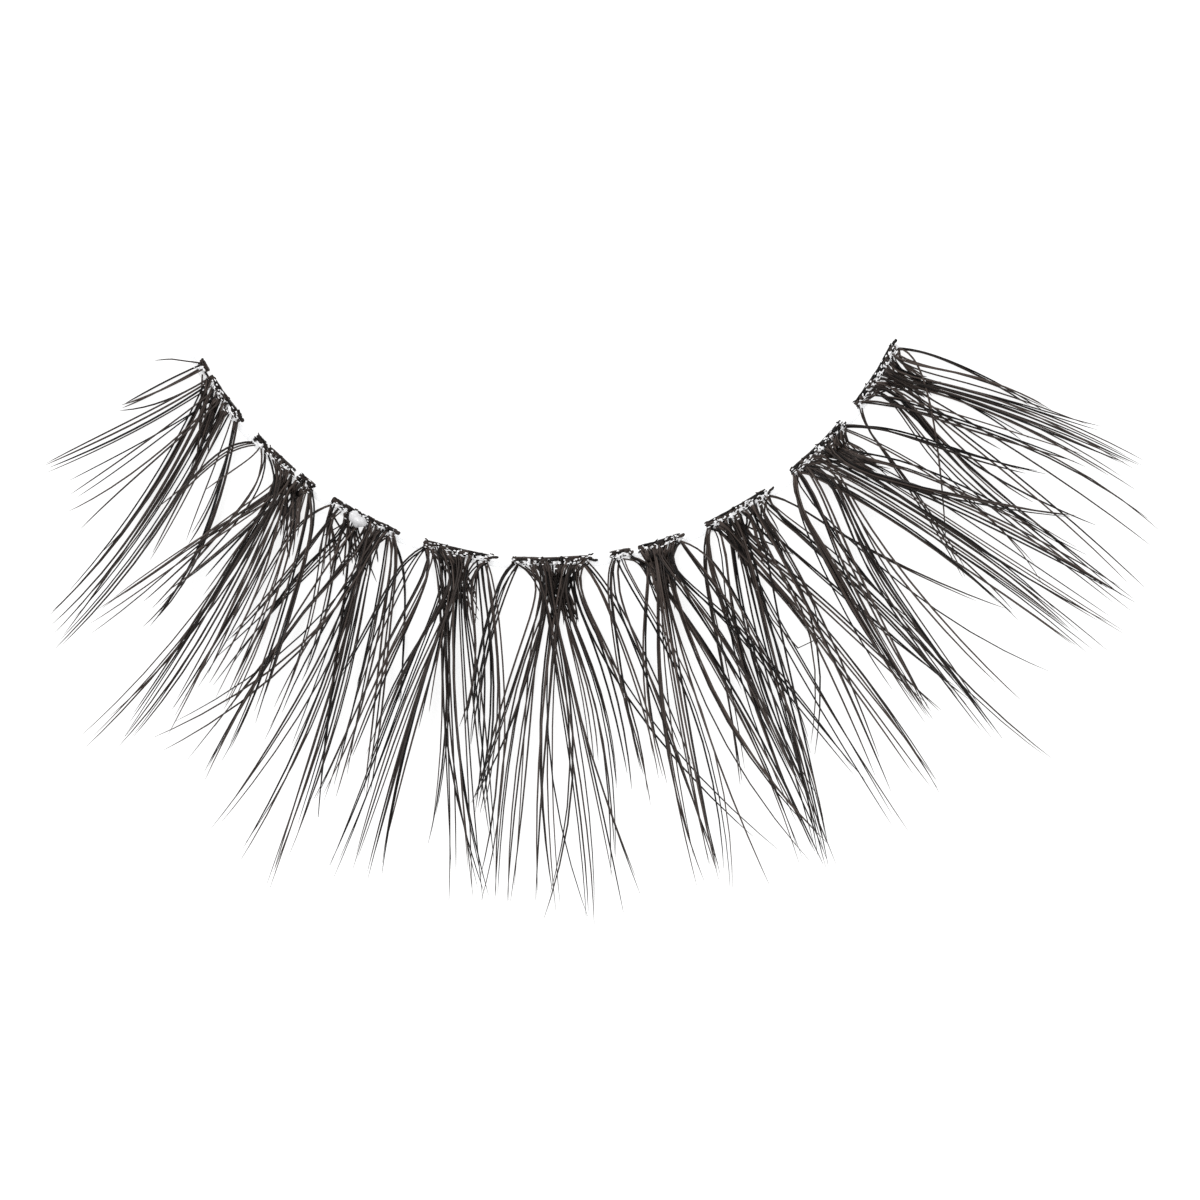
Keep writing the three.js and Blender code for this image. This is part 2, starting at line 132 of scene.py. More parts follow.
FAN_PLANS = [
    FanPlan("lash_fan_1", -3.91, Layer.LOW, 0.66, (), 0.6, 20, [(-0.95, -0.6), (-0.45, 1.05)], [
        Lock(-0.8, -0.112, 0.25, 0, 4), Lock(-0.5, -0.092, 0.26, 0.01, 1),
        Lock(-0.35, -0.093, 0.51, 0.012, 4), Lock(-0.2, -0.08, 0.52, 0.015, 2),
        Lock(0.15, -0.028, 0.48, 0.012, 1), Lock(-0.05, 0.004, 0.5, 0.005, 2),
        Lock(0.1, 0.032, 0.49, 0, 2), Lock(0.2, 0.068, 0.53, 0.014, 2),
        Lock(0.3, 0.082, 0.53, 0.005, 2), Lock(-0.4, 0.252, 0.73, 0.04, 4),
        Lock(-0.3, 0.208, 0.52, 0.025, 2), Lock(-0.1, 0.295, 0.74, 0.04, 5),
        Lock(0.2, 0.33, 0.75, 0.02, 5), Lock(0.45, 0.338, 0.77, 0.04, 5),
        Lock(0.6, 0.28, 0.42, 0.005, 3), Lock(0.6, 0.25, 0.42, 0.01, 2),
        Lock(0.8, 0.285, 0.31, 0.01, 2), Lock(1.05, 0.46, 0.54, 0.05, 4),
        Lock(1.1, 0.305, 0.31, 0.02, 3), Lock(1, 0.42, 0.48, 0.04, 2),
    ]),
    FanPlan("lash_fan_2", -2.88, Layer.HIGH, 0.88, (0.06,), 0.5, 28,
            [(-1.15, -0.75), (-0.65, 0.35), (0.5, 1.05)], [
        Lock(-1.1, -0.185, 0.33, -0.01, 3), Lock(-0.75, 0, 0.54, 0.012, 3),
        Lock(-0.5, 0.07, 0.42, 0.005, 2), Lock(0, -0.14, 0.63, 0.015, 2),
        Lock(0, -0.115, 0.64, 0.01, 2), Lock(-0.1, -0.1, 0.68, 0.015, 1),
        Lock(-0.1, -0.08, 0.7, 0.015, 1), Lock(-0.2, -0.04, 0.54, 0, 2),
        Lock(0.55, 0.01, 0.48, 0, 2), Lock(0, 0.095, 0.94, 0.04, 5),
        Lock(0.1, 0.145, 0.86, 0.025, 3), Lock(0.1, 0.173, 0.88, 0.045, 4),
        Lock(0.5, 0.225, 0.71, 0, 4), Lock(0.6, 0.245, 0.77, 0.005, 2),
        Lock(0.6, 0.235, 0.62, 0.015, 3), Lock(0.8, 0.325, 0.62, 0.02, 4),
        Lock(0.9, 0.435, 0.73, 0.02, 3), Lock(1.05, 0.4, 0.59, 0.022, 3),
        Lock(0.85, 0.26, 0.61, 0.03, 1), Lock(-0.9, -0.13, 0.2, 0, 1),
    ]),
    FanPlan("lash_fan_3", -1.91, Layer.LOW, 0.82, (-0.085, -0.03, 0.04), 0.3, 10,
            [(-1, -0.3), (-0.3, 0.17), (0.17, 1)], [
        Lock(-1, -0.175, 0.36, -0.01, 2), Lock(-0.75, -0.205, 0.53, 0.02, 3),
        Lock(-0.7, -0.155, 0.46, 0, 3), Lock(-0.45, -0.155, 0.6, -0.01, 2),
        Lock(-0.5, -0.105, 0.57, -0.025, 2), Lock(-0.5, 0.055, 0.67, 0.022, 3),
        Lock(-0.3, 0.062, 0.48, 0.01, 2), Lock(-0.2, 0.255, 0.79, -0.01, 2),
        Lock(0.75, -0.21, 0.8, 0.07, 2), Lock(0.65, -0.175, 0.82, 0.065, 1),
        Lock(0.3, -0.13, 0.81, 0.015, 1), Lock(0.1, -0.1, 0.7, 0, 1),
        Lock(0.3, -0.09, 0.82, -0.01, 2), Lock(0.4, -0.065, 0.84, -0.025, 3),
        Lock(0.3, 0.005, 0.58, 0, 2), Lock(0.5, 0.035, 0.95, 0.033, 4),
        Lock(0.4, 0.11, 0.66, 0.01, 2), Lock(0.3, 0.147, 0.99, 0.035, 4),
        Lock(0.3, 0.22, 1.02, 0.022, 4), Lock(0.6, 0.23, 0.97, 0, 1),
        Lock(0.7, 0.26, 0.92, 0.012, 5), Lock(0.8, 0.27, 0.74, 0.018, 3),
        Lock(0.95, 0.375, 0.68, 0.005, 4), Lock(0.9, 0.285, 0.72, 0.018, 3),
        Lock(1.1, 0.32, 0.41, 0.015, 2),
    ]),
    FanPlan("lash_fan_4", -0.89, Layer.HIGH, 1.0, (0.03,), 0.25, 28, [(-0.95, 0.95)], [
        Lock(-0.95, -0.235, 0.41, -0.01, 2), Lock(-0.85, -0.2, 0.47, -0.01, 2),
        Lock(-0.8, -0.195, 0.75, -0.015, 3), Lock(-0.5, -0.165, 0.65, 0, 3),
        Lock(-0.45, -0.13, 0.6, 0, 2), Lock(-0.3, -0.1, 0.62, 0, 2),
        Lock(-0.2, -0.135, 0.95, 0.015, 4), Lock(0, -0.09, 0.91, 0.005, 3),
        Lock(0.2, -0.04, 0.93, -0.01, 3), Lock(0.3, -0.02, 0.91, -0.015, 3),
        Lock(0.15, 0.005, 0.5, 0, 1), Lock(0.2, 0.03, 0.45, 0, 1),
        Lock(-0.75, 0.11, 0.8, 0.03, 3), Lock(-0.6, 0.21, 0.95, 0.01, 3),
        Lock(-0.2, 0.25, 0.92, 0, 4), Lock(0.2, 0.28, 0.9, -0.055, 4),
        Lock(0.5, 0.29, 0.81, -0.01, 3), Lock(0.7, 0.14, 0.47, 0.02, 2),
        Lock(0.8, 0.225, 0.69, 0.03, 4), Lock(0.9, 0.285, 0.92, 0.05, 2),
    ]),
    FanPlan("lash_fan_5", 0.105, Layer.LOW, 1.1, (0.0,), 0.2, 42, [(-1.15, 1.05)], [
        Lock(-1.15, -0.27, 0.5, -0.015, 2), Lock(-1, -0.24, 0.48, -0.03, 3),
        Lock(-0.85, -0.225, 0.5, -0.025, 1), Lock(-0.65, -0.225, 0.66, 0.01, 3),
        Lock(-0.6, -0.185, 0.93, -0.03, 3), Lock(-0.5, -0.22, 0.66, 0.045, 2),
        Lock(-0.4, -0.175, 0.93, 0, 2), Lock(-0.3, -0.125, 0.93, 0, 2),
        Lock(0.4, -0.065, 0.93, -0.025, 2), Lock(0.45, -0.01, 0.96, -0.045, 4),
        Lock(0.5, 0.08, 0.98, -0.08, 1), Lock(-0.6, 0.095, 1, 0.02, 4),
        Lock(-0.4, -0.05, 0.98, 0.1, 2), Lock(-0.3, 0.16, 0.97, 0.01, 2),
        Lock(-0.1, 0.225, 0.92, -0.03, 2), Lock(0.45, 0.11, 0.57, 0, 3),
        Lock(0.5, 0.155, 0.87, 0.02, 3), Lock(0.6, 0.165, 0.63, 0.02, 3),
        Lock(0.7, 0.2, 0.635, 0.02, 2), Lock(0.8, 0.26, 0.68, 0.02, 3),
        Lock(0.9, 0.3, 0.62, 0.02, 2), Lock(1, 0.36, 0.57, 0.02, 2),
        Lock(0.7, 0.58, 0.81, -0.095, 2),
    ]),
    FanPlan("lash_fan_6", 1.12, Layer.HIGH, 1.1, (0.0,), 0.05, 42, [(-1.15, -0.6), (-0.35, 0.9)], [
        Lock(-1.15, -0.205, 0.6, -0.02, 3), Lock(-1, -0.065, 0.9, -0.015, 2),
        Lock(-0.85, -0.04, 0.97, 0.065, 3), Lock(-0.3, -0.16, 0.62, -0.02, 3),
        Lock(-0.1, -0.12, 0.93, -0.04, 4), Lock(0, -0.09, 0.93, -0.005, 4),
        Lock(0.2, -0.065, 0.92, -0.02, 3), Lock(0.3, 0.23, 0.92, -0.085, 3),
        Lock(0.3, 0.17, 0.95, -0.07, 1), Lock(0.3, 0.065, 0.98, -0.03, 1),
        Lock(-0.3, 0.17, 0.95, 0.03, 3), Lock(0, 0.235, 0.98, 0.045, 4),
        Lock(0.1, 0.215, 0.97, 0.02, 3), Lock(0.6, 0.14, 0.45, 0, 2),
        Lock(0.7, 0.375, 0.78, 0, 3), Lock(0.85, 0.24, 0.9, 0.06, 3),
        Lock(0.95, 0.24, 0.55, 0.03, 2),
    ]),
    FanPlan("lash_fan_7", 2.12, Layer.LOW, 0.95, (-0.045, 0.03), 0.0, 16, [(-1.1, 0.9)], [
        Lock(-1.2, -0.36, 0.66, -0.01, 3), Lock(-1.1, -0.25, 0.72, -0.025, 4),
        Lock(-0.8, -0.29, 0.92, -0.05, 4), Lock(-0.7, -0.25, 0.8, -0.04, 3),
        Lock(-0.5, -0.3, 0.97, 0.01, 4), Lock(-0.3, -0.27, 0.97, 0, 4),
        Lock(-0.2, -0.15, 0.68, -0.015, 2), Lock(-0.6, -0.065, 1, -0.01, 3),
        Lock(0.1, -0.045, 0.88, 0.02, 4), Lock(0.2, -0.16, 0.69, 0.1, 2),
        Lock(-0.5, 0.04, 0.92, 0.02, 2), Lock(-0.8, 0, 0.4, 0.01, 2),
        Lock(-0.3, 0.095, 0.95, 0.02, 4), Lock(0, 0.18, 0.76, 0, 3),
        Lock(0.4, 0.27, 0.77, -0.015, 3), Lock(0.6, 0.28, 0.78, 0, 3),
        Lock(0.8, 0.3, 0.76, 0.015, 3), Lock(0.95, 0.47, 0.605, -0.01, 2),
    ]),
    FanPlan("lash_fan_8", 3.13, Layer.HIGH, 1.2, (0.025,), 0.3, 46, [(-1.05, 1)], [
        Lock(-1.2, -0.32, 0.63, -0.015, 4), Lock(-1.1, -0.31, 0.75, -0.03, 4),
        Lock(-0.8, -0.29, 0.73, -0.02, 5), Lock(-1, -0.01, 0.88, -0.05, 1),
        Lock(-0.9, -0.17, 0.55, -0.025, 2), Lock(-0.3, -0.2, 0.92, -0.015, 5),
        Lock(-0.3, -0.175, 1.05, -0.045, 2), Lock(-0.3, -0.11, 0.88, -0.03, 2),
        Lock(-0.8, 0.055, 0.72, 0.035, 3), Lock(-0.6, 0.125, 0.92, 0.03, 3),
        Lock(0, 0.15, 0.86, 0.03, 5), Lock(0, 0.18, 0.95, 0.02, 1),
        Lock(0.3, 0.24, 0.95, -0.005, 4), Lock(0.4, 0.325, 0.91, 0.015, 4),
        Lock(0.5, 0.36, 0.63, -0.03, 3), Lock(0.6, 0.28, 0.6, 0.01, 3),
        Lock(0.85, 0.215, 0.7, 0.04, 2), Lock(1, 0.37, 0.49, 0.01, 3),
    ]),
    FanPlan("lash_fan_9", 4.09, Layer.LOW, 0.95, (0.02,), 0.15, 28, [(-1.05, 1)], [
        Lock(-1.15, -0.32, 0.5, -0.01, 3), Lock(-0.75, -0.17, 0.45, -0.01, 1),
        Lock(-0.65, -0.15, 0.75, -0.03, 3), Lock(-0.5, -0.17, 0.93, -0.02, 3),
        Lock(-0.3, -0.165, 0.92, -0.01, 3), Lock(1, -0.3, 0.41, 0.045, 1),
        Lock(0.2, -0.1, 0.55, -0.02, 1), Lock(-0.7, 0.057, 0.88, 0.065, 2),
        Lock(-0.6, 0.09, 0.62, 0.01, 3), Lock(-0.3, 0.01, 0.4, 0, 1),
        Lock(0.3, -0.12, 0.93, 0.02, 2), Lock(0.3, 0.005, 0.88, 0.01, 1),
        Lock(0, 0.07, 0.45, 0.01, 2), Lock(0.1, 0.1, 0.77, 0.035, 3),
        Lock(0.2, 0.15, 0.74, 0.02, 4), Lock(0.4, 0.18, 0.75, 0.02, 5),
        Lock(0.5, 0.17, 0.6, 0.02, 3), Lock(0.75, 0.17, 0.46, 0.025, 3),
        Lock(0.9, 0.16, 0.45, 0.02, 2), Lock(-0.6, -0.04, 0.73, -0.03, 1),
    ]),
]


@dataclass(frozen=True)
class StripSizes:
    """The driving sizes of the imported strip, in metres."""

    row_radius: float = 15.7 * MM
    fan_pitch: float = 3.9 * MM
    head_half_width: float = 1.4 * MM
    band_offset: float = 0.25 * MM
    band_width: float = 0.22 * MM
    band_thickness: float = 0.12 * MM
    band_to_inner_corner: float = 17.35 * MM
    band_to_outer_corner: float = 17.4 * MM
    band_clearance: float = 0.03 * MM
    pad_thickness: float = 0.12 * MM
    root_depth: float = 0.2 * MM
    loop_thickness: float = 0.1 * MM
    lash_length: float = 14 * MM
    flat_length: float = 3.5 * MM
    curl_height: float = 4.6 * MM
    lock_thickness: float = 0.12 * MM
    levels: int = 3
    level_step: float = 0.135 * MM
    layer_step: float = 0.56 * MM
    layer_ramp: float = 0.9 * MM
    glue_length: float = 0.8 * MM
    glue_width: float = 0.42 * MM
    glue_height: float = 0.17 * MM
    glue_node: str = "lash_fan_3"
    glue_place: float = -0.14

    @property
    def band_bottom(self) -> float:
        """Height of the band's underside."""
        return self.pad_thickness + self.band_clearance

    @property
    def band_top(self) -> float:
        """Height of the band's upper face."""
        return self.band_bottom + self.band_thickness

    @property
    def hole_outer(self) -> float:
        """Reach of the outer side of the channel that the band lies in."""
        return self.band_offset + self.band_width / 2 + self.band_clearance

    @property
    def hole_top(self) -> float:
        """Height of the channel's roof under the loops."""
        return self.band_top + self.band_clearance

    @property
    def ridge_top(self) -> float:
        """Height of the knots beside the band."""
        return self.hole_top + self.loop_thickness / 2

    @property
    def root_reach(self) -> float:
        """Reach at which the lashes leave the head."""
        return self.hole_outer + self.root_depth / 2


SIZES = StripSizes()


@dataclass(frozen=True)
class KnotRow:
    """The circular row that the heads stand on, in the part's own frame."""

    centre_x: float
    centre_y: float
    radius: float

    @classmethod
    def from_frame(cls) -> "KnotRow":
        """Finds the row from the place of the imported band.

        Returns:
            The row, with its centre where the band's outer edge says it is.
        """
        low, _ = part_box("clear_band")
        outer_edge = SIZES.row_radius + SIZES.band_offset + SIZES.band_width / 2
        end_angle = SIZES.band_to_inner_corner / SIZES.row_radius
        return cls(low.x + outer_edge * math.sin(end_angle), low.y + outer_edge, SIZES.row_radius)

    def outward(self, angle: float) -> np.ndarray:
        """Unit vector from the row's centre through an angle from the row's lowest point."""
        return np.array([math.sin(angle), -math.cos(angle), 0.0])

    def tangent(self, angle: float) -> np.ndarray:
        """Unit vector along the row at an angle, to the outer corner of the eye."""
        return np.array([math.cos(angle), math.sin(angle), 0.0])

    def at(self, along: np.ndarray, reach: np.ndarray, height: np.ndarray) -> np.ndarray:
        """Places on the row's curved grid.

        Args:
            along: distances along the row from its lowest point.
            reach: distances outward from the row.
            height: heights above the table.

        Returns:
            The places as an array of points.
        """
        angle = np.asarray(along) / self.radius
        distance = self.radius + np.asarray(reach)
        return np.stack([
            self.centre_x + distance * np.sin(angle),
            self.centre_y - distance * np.cos(angle),
            np.broadcast_to(height, np.shape(angle)).astype(float),
        ], axis=-1)

    def reach_of(self, points: np.ndarray) -> np.ndarray:
        """Distances of points outward from the row."""
        return np.hypot(points[:, 0] - self.centre_x, points[:, 1] - self.centre_y) - self.radius


@dataclass(frozen=True)
class FibreFinish:
    """Brown-black synthetic fibre, satin, a little different from strand to strand."""

    name: str = "satin_lash_fibre"
    deep: Colour = (0.003, 0.0025, 0.0025)
    warm: Colour = (0.06, 0.046, 0.04)
    deep_until: float = 0.2
    warm_from: float = 0.85
    roughness_low: float = 0.32
    roughness_high: float = 0.5
    specular: float = 0.12
    grain_per_metre: float = 9000.0
    grain_detail: float = 3.0
    grain_share: float = 0.3
    grain_depth: float = 0.004 * MM

    def build(self) -> bpy.types.Material:
        """Makes the material.

        Returns:
            A material whose colour follows each strand's own shade and a fine lengthwise grain.
        """
        material, nodes, links, shader = new_material(self.name)
        shade = nodes.new("ShaderNodeAttribute")
        shade.attribute_name = STRAND_SHADE
        grain = add_noise(nodes, links, self.grain_per_metre, self.grain_detail)
        blend = nodes.new("ShaderNodeMix")
        blend.inputs["Factor"].default_value = self.grain_share
        links.new(shade.outputs["Fac"], blend.inputs["A"])
        links.new(grain.outputs["Fac"], blend.inputs["B"])
        ramp = nodes.new("ShaderNodeValToRGB")
        set_ramp(ramp, (self.deep_until, self.warm_from), self.deep, self.warm)
        links.new(blend.outputs["Result"], ramp.inputs["Fac"])
        links.new(ramp.outputs["Color"], shader.inputs["Base Color"])
        link_range(nodes, links, grain.outputs["Fac"], shader.inputs["Roughness"],
                   (self.roughness_low, self.roughness_high))
        link_bump(nodes, links, grain.outputs["Fac"], shader, self.grain_depth)
        shader.inputs["Specular IOR Level"].default_value = self.specular
        return material


@dataclass(frozen=True)
class ClearFinish:
    """Clear glossy plastic or dried glue, faintly milky, with a slightly uneven surface; on the knot glue the
    milky white is partly painted sheen.
    """

    name: str
    colour: Colour
    alpha: float
    roughness_low: float = 0.06
    roughness_high: float = 0.22
    ripple_per_metre: float = 2500.0
    ripple_depth: float = 0.012 * MM
    ripple_detail: float = 2.0
    dim: float = 0.82
    dim_until: float = 0.3
    clear_from: float = 0.6

    def build(self) -> bpy.types.Material:
        """Makes the material.

        Returns:
            A see-through material with ripples in its gloss and a faint change of its white.
        """
        material, nodes, links, shader = new_material(self.name)
        ripple = add_noise(nodes, links, self.ripple_per_metre, self.ripple_detail)
        ramp = nodes.new("ShaderNodeValToRGB")
        dimmed = tuple(self.dim * part for part in self.colour)
        set_ramp(ramp, (self.dim_until, self.clear_from), dimmed, self.colour)
        links.new(ripple.outputs["Fac"], ramp.inputs["Fac"])
        links.new(ramp.outputs["Color"], shader.inputs["Base Color"])
        link_range(nodes, links, ripple.outputs["Fac"], shader.inputs["Roughness"],
                   (self.roughness_low, self.roughness_high))
        link_bump(nodes, links, ripple.outputs["Fac"], shader, self.ripple_depth)
        shader.inputs["Alpha"].default_value = self.alpha
        return material


@dataclass(frozen=True)
class FloorFinish:
    """The pale sweep that the strip lies on."""

    name: str = "pale_floor"
    colour: Colour = (0.3, 0.3, 0.3)
    roughness: float = 0.8
    glow: float = 0.8

    def build(self) -> bpy.types.Material:
        """Makes the material.

        Returns:
            An even, pale, matt material.
        """
        material, _, _, shader = new_material(self.name)
        shader.inputs["Base Color"].default_value = (*self.colour, 1.0)
        shader.inputs["Roughness"].default_value = self.roughness
        shader.inputs["Specular IOR Level"].default_value = 0.0
        shader.inputs["Emission Color"].default_value = WHITE
        shader.inputs["Emission Strength"].default_value = self.glow
        return material


def new_material(name: str) -> tuple[
        bpy.types.Material, bpy.types.Nodes, bpy.types.NodeLinks, bpy.types.ShaderNode]:
    """Starts a node material.

    Args:
        name: what the material is called.

    Returns:
        The material, its nodes, its links and its surface shader.
    """
    material = bpy.data.materials.new(name)
    material.use_nodes = True
    nodes = material.node_tree.nodes
    return material, nodes, material.node_tree.links, nodes["Principled BSDF"]


def add_noise(nodes: bpy.types.Nodes, links: bpy.types.NodeLinks, scale: float,
              detail: float) -> bpy.types.ShaderNode:
    """Adds a noise pattern on Object coordinates.

    Args:
        nodes: the material's nodes.
        links: the material's links.
        scale: how fine it is, for each metre.
        detail: how many finer patterns lie on it.

    Returns:
        The pattern's node.
    """
    place = nodes.new("ShaderNodeTexCoord")
    noise = nodes.new("ShaderNodeTexNoise")
    noise.inputs["Scale"].default_value = scale
    noise.inputs["Detail"].default_value = detail
    links.new(place.outputs["Object"], noise.inputs["Vector"])
    return noise


def set_ramp(ramp: bpy.types.ShaderNode, places: Span, low: Colour, high: Colour) -> None:
    """Gives a colour ramp its two ends.

    Args:
        ramp: the colour ramp's node.
        places: where the low colour ends and the high one starts.
        low: the colour of low values.
        high: the colour of high values.
    """
    for element, place, colour in zip(ramp.color_ramp.elements, places, (low, high)):
        element.position = place
        element.color = (*colour, 1.0)


def link_range(nodes: bpy.types.Nodes, links: bpy.types.NodeLinks, source: bpy.types.NodeSocket,
               socket: bpy.types.NodeSocket, span: Span) -> None:
    """Links a pattern to a shader value between two ends.

    Args:
        nodes: the material's nodes.
        links: the material's links.
        source: the pattern's output.
        socket: the shader's input.
        span: the lowest and highest value.
    """
    to_range = nodes.new("ShaderNodeMapRange")
    to_range.inputs["To Min"].default_value = span[0]
    to_range.inputs["To Max"].default_value = span[1]
    links.new(source, to_range.inputs["Value"])
    links.new(to_range.outputs["Result"], socket)


def link_bump(nodes: bpy.types.Nodes, links: bpy.types.NodeLinks, source: bpy.types.NodeSocket,
              shader: bpy.types.ShaderNode, depth: float) -> None:
    """Links a pattern to a shader's surface relief.

    Args:
        nodes: the material's nodes.
        links: the material's links.
        source: the pattern's output.
        shader: the surface shader.
        depth: the relief's depth in metres.
    """
    bump = nodes.new("ShaderNodeBump")
    bump.inputs["Strength"].default_value = 1.0
    bump.inputs["Distance"].default_value = depth
    links.new(source, bump.inputs["Height"])
    links.new(bump.outputs["Normal"], shader.inputs["Normal"])


def deselect_all() -> None:
    """Leaves no object selected, so that an operator acts on the new one alone."""
    for each in bpy.context.view_layer.objects:
        each.select_set(False)


def select_where(piece: bpy.types.Object, kind: MeshPart, test: Callable[[list[Vector]], bool]) -> None:
    """Selects a piece's vertices or edges by a test and enters edit mode.

    Args:
        piece: the object, active and in object mode.
        kind: what is selected.
        test: takes the places of the element's vertices, and says whether it is selected.
    """
    bpy.ops.object.mode_set(mode="EDIT")
    bpy.ops.mesh.select_mode(type=kind.value)
    bpy.ops.mesh.select_all(action="DESELECT")
    bpy.ops.object.mode_set(mode="OBJECT")
    mesh = piece.data
    if kind is MeshPart.VERTEX:
        for vertex in mesh.vertices:
            vertex.select = test([vertex.co])
    else:
        for edge in mesh.edges:
            edge.select = test([mesh.vertices[i].co for i in edge.vertices])
    bpy.ops.object.mode_set(mode="EDIT")


def finish_piece(piece: bpy.types.Object, material: bpy.types.Material, slot: str, *nodes: str) -> None:
    """Dresses a finished piece and ties it to the part.

    Args:
        piece: the object, in place.
        material: its finish.
        slot: the record's material slot that the finish belongs to; not used.
        nodes: the part's solids that the piece stands for.
    """
    piece.data.materials.clear()
    piece.data.materials.append(material)
    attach(piece, ROOT_BODY)
    if nodes:
        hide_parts(*nodes)
    log.info("%s: %d vertices, for %s", piece.name, len(piece.data.vertices), nodes or "looks only")


@dataclass
class FibrePattern:
    """One fibre modelled once along +Z, from which each strand is copied."""

    form: FibreForm
    sides: int = 5
    stations: tuple[float, ...] = (
        0.0, 0.02, 0.045, 0.075, 0.11, 0.15, 0.2, 0.27, 0.36, 0.47, 0.6, 0.73, 0.85, 0.94, 1.0)
    lash_widths: tuple[float, ...] = (
        0.85, 1.0, 1.0, 1.0, 1.0, 1.0, 1.0, 1.0, 1.0, 0.99, 0.96, 0.88, 0.74, 0.5, 0.12)
    cut_widths: tuple[float, ...] = (
        0.3, 0.5, 0.7, 0.85, 0.95, 1.1, 0.95, 1.15, 0.9, 1.12, 0.95, 1.1, 0.95, 0.8, 0.3)
    tolerance: float = 1e-4
    corners: np.ndarray = field(init=False)
    station_of: np.ndarray = field(init=False)
    faces: list[tuple[int, ...]] = field(init=False)

    def __post_init__(self) -> None:
        """Models the fibre and keeps its corners and faces."""
        deselect_all()
        bpy.ops.mesh.primitive_cylinder_add(vertices=self.sides, radius=0.5, depth=1, location=(0, 0, 0.5))
        fibre = bpy.context.object
        bpy.ops.object.transform_apply(location=True, rotation=True, scale=True)
        bpy.ops.object.mode_set(mode="EDIT")
        for share in self.stations[1:-1]:
            bpy.ops.mesh.select_all(action="SELECT")
            bpy.ops.mesh.bisect(plane_co=(0, 0, share), plane_no=(0, 0, 1))
        bpy.ops.object.mode_set(mode="OBJECT")
        widths = self.lash_widths if self.form is FibreForm.LASH else self.cut_widths
        for share, width in zip(self.stations, widths):
            select_where(fibre, MeshPart.VERTEX, lambda places: abs(places[0].z - share) < self.tolerance)
            bpy.ops.transform.resize(value=(width, width, 1), center_override=(0, 0, share))
            bpy.ops.object.mode_set(mode="OBJECT")
        mesh = fibre.data
        self.corners = np.array([vertex.co for vertex in mesh.vertices])
        shares = np.array(self.stations)
        self.station_of = np.abs(self.corners[:, 2:3] - shares[None, :]).argmin(axis=1)
        self.faces = [tuple(face.vertices) for face in mesh.polygons]
        bpy.data.objects.remove(fibre)
        bpy.data.meshes.remove(mesh)


@dataclass
class FibreBundle:
    """Strands copied from the fibre patterns and joined as one piece."""

    lash: FibrePattern
    cut: FibrePattern
    points: list[np.ndarray] = field(default_factory=list)
    faces: list[tuple[int, ...]] = field(default_factory=list)
    shades: list[np.ndarray] = field(default_factory=list)
    count: int = 0

    def add(self, form: FibreForm, line: np.ndarray, width: float, shade: float) -> None:
        """Lays one strand along a line.

        Args:
            form: which pattern the strand is copied from.
            line: a point for each of the pattern's stations.
            width: the strand's thickness in metres.
            shade: 0 for the deepest fibre to 1 for the palest.
        """
        pattern = self.lash if form is FibreForm.LASH else self.cut
        ahead = np.gradient(line, axis=0)
        ahead /= np.linalg.norm(ahead, axis=1, keepdims=True)
        side = np.cross(ahead, UP)
        side /= np.maximum(np.linalg.norm(side, axis=1, keepdims=True), NEARLY_NOTHING)
        normal = np.cross(ahead, side)
        at = pattern.station_of
        corners = pattern.corners * width
        placed = line[at] + side[at] * corners[:, 0:1] + normal[at] * corners[:, 1:2]
        self.faces += [tuple(self.count + i for i in face) for face in pattern.faces]
        self.points.append(placed)
        self.shades.append(np.full(len(placed), shade))
        self.count += len(placed)

    def to_object(self, name: str) -> bpy.types.Object:
        """Joins the strands.

        Args:
            name: the piece's name.

        Returns:
            The joined piece, smooth shaded, with each strand's shade as an attribute.
        """
        mesh = bpy.data.meshes.new(name)
        mesh.from_pydata(np.concatenate(self.points).tolist(), [], self.faces)
        shade = mesh.attributes.new(STRAND_SHADE, "FLOAT", "POINT")
        shade.data.foreach_set("value", np.concatenate(self.shades).astype(np.float32))
        mesh.update()
        mesh.shade_smooth()
        piece = bpy.data.objects.new(name, mesh)
        bpy.context.scene.collection.objects.link(piece)
        return piece


@dataclass(frozen=True)
class StrandPath:
    """Where one strand runs in its fan's own frame, in metres.

    It runs from its root to its tip, both sideways places, and to its far reach. It bows at its
    middle, hooks at its tip and has a share of its lock's length. Near its waist it is pulled by a
    share towards the fan's waist and pushed sideways by its splay.
    """

    root: float
    tip: float
    far: float
    bow: float = 0.0
    hook: float = 0.0
    length: float = 1.0
    waist_reach: float = 1.35 * MM
    pull: float = 0.3
    splay: float = 0.0


class CutRow(NamedTuple):
    """A row of cut knot ends, in millimetres: its reach, and the spans of ends' lengths, widths and gaps."""

    reach: float
    lengths: Span
    widths: Span
    gaps: Span


CUT_ROWS = (
    CutRow(-0.01, (0.12, 0.45), (0.11, 0.2), (-0.04, 0.15)),
    CutRow(0.09, (0.1, 0.4), (0.08, 0.15), (0.03, 0.35)),
    CutRow(-0.11, (0.1, 0.35), (0.04, 0.07), (0.25, 1.1)),
    CutRow(0.15, (0.08, 0.25), (0.04, 0.08), (0.2, 0.6)),
)


